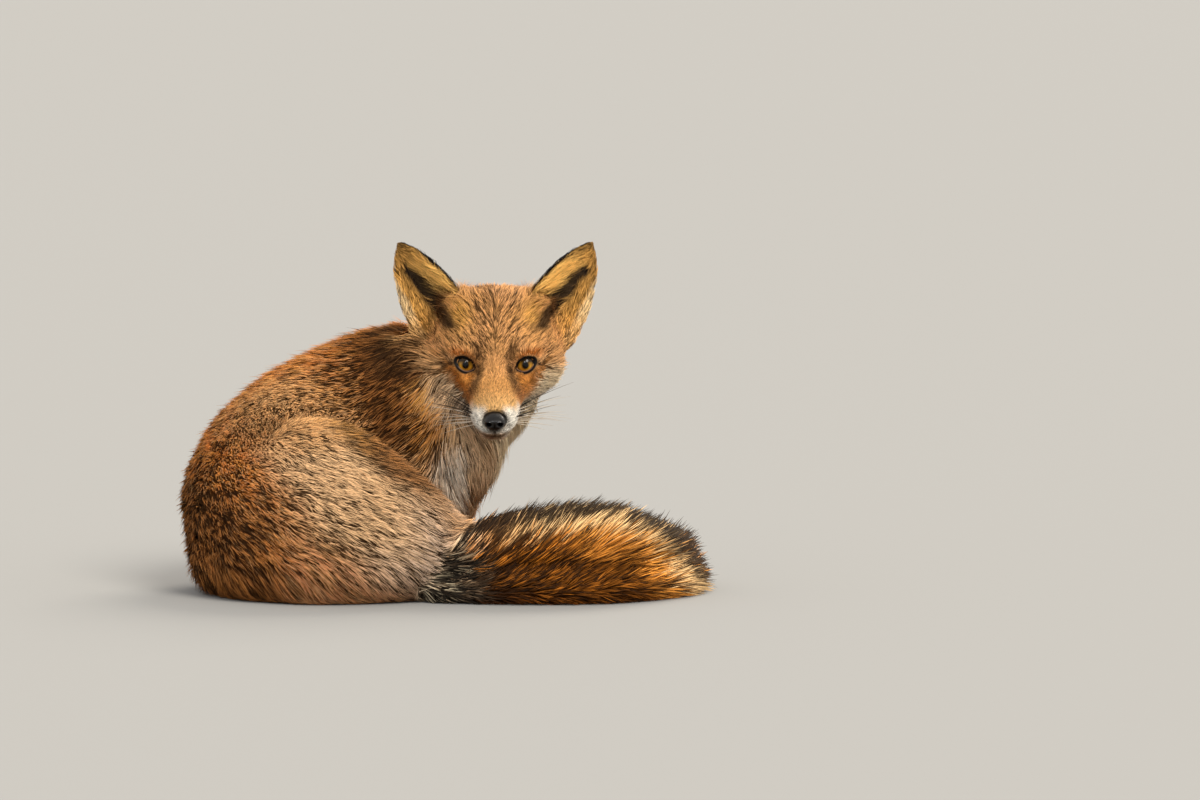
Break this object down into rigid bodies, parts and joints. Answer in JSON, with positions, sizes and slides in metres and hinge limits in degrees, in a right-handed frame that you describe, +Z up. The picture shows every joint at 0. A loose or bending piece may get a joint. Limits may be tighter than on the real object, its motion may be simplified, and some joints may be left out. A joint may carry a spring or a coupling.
{
  "type": "red fox, curled resting model",
  "caption": "Life-size still model of a red fox lying curled on the ground, head raised, brush laid round in front.",
  "frame": {"origin": "under the middle of the whole animal, on the ground it lies on", "axes": "+X towards the far bend of the brush, -Y the way the face looks, +Z up"},
  "size_m": [0.4272, 0.2906, 0.2811],
  "materials": {
    "coat_russet": "dense fur, rust brown with darker tips",
    "coat_sand": "dense fur, pale sandy grey with dark flecks",
    "coat_cream": "soft pale fur",
    "coat_tawny": "short tawny fur",
    "coat_dusky": "short blackish fur",
    "coat_brush": "long bushy hair, tawny with black tips",
    "nose": "moist pebbled black skin",
    "eye": "wet gloss, amber iris",
    "eyelid": "smooth dark rim",
    "whisker": "stiff fine hair"
  },
  "bodies": {
    "root": {"head": "coat_tawny", "jaw": "coat_cream", "nose": "nose", "ear_left": "coat_dusky", "ear_right": "coat_dusky", "eye_left": "eye", "eye_right": "eye", "neck": "coat_russet", "breast": "coat_cream", "chest": "coat_russet", "loin": "coat_russet", "rump": "coat_russet", "haunch_right": "coat_sand", "haunch_left": "coat_sand", "hindfoot_right": "coat_tawny", "hindfoot_left": "coat_tawny", "shoulder_right": "coat_russet", "shoulder_left": "coat_russet", "forearm_right": "coat_dusky", "forearm_left": "coat_dusky", "forepaw_right": "coat_dusky", "forepaw_left": "coat_dusky", "tail_base": "coat_brush", "tail_middle": "coat_brush", "tail_end": "coat_brush", "tail_tip": "coat_cream"}
  },
  "joints": []
}
